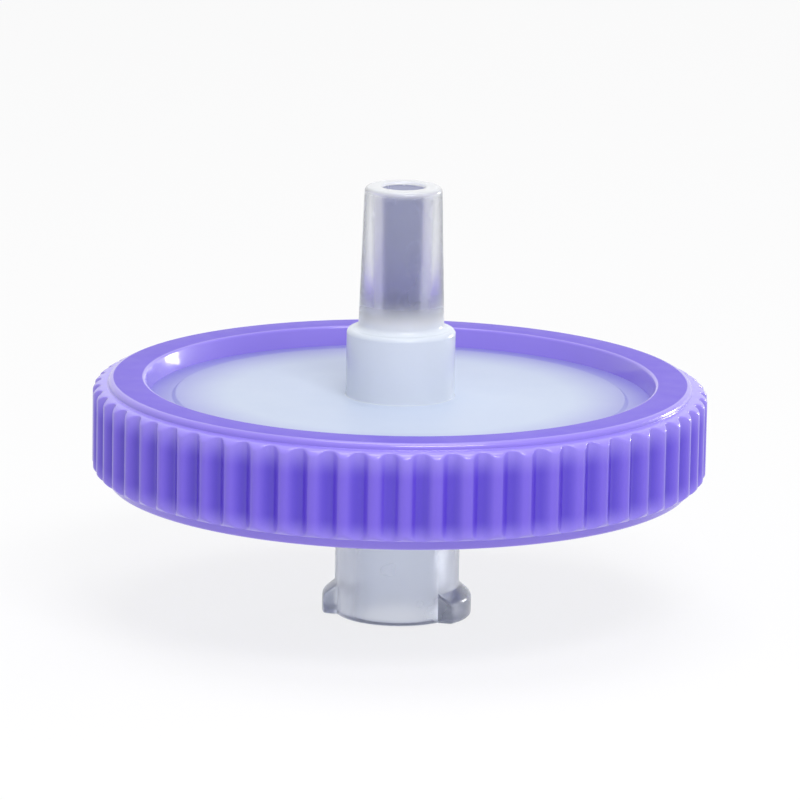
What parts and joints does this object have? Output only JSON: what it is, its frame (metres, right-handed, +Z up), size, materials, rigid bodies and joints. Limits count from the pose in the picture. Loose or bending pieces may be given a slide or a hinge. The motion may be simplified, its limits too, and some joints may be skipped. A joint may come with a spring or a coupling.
{
  "type": "syringe filter",
  "caption": "Disc-shaped syringe filter with a female luer-lock inlet hub, a male luer-slip outlet nozzle and a purple grip ring with a ribbed edge.",
  "frame": {"origin": "centre of the mouth of the inlet hub, on the plane that the filter stands on", "axes": "+Z up the axis, from the mouth of the inlet hub to the tip of the outlet nozzle; +X through the middle of one of the two luer lugs; +Y completes a right-handed frame"},
  "size_m": [0.032, 0.032, 0.0227],
  "materials": {
    "translucent_housing": "moulded polypropylene, translucent, smooth and glossy",
    "membrane": "white microporous film, matt",
    "purple_ring": "moulded polypropylene, opaque purple, semi-gloss"
  },
  "bodies": {
    "root": {"inlet_housing": "translucent_housing", "outlet_housing": "translucent_housing", "membrane": "membrane", "sealing_ring": "purple_ring"}
  },
  "joints": []
}
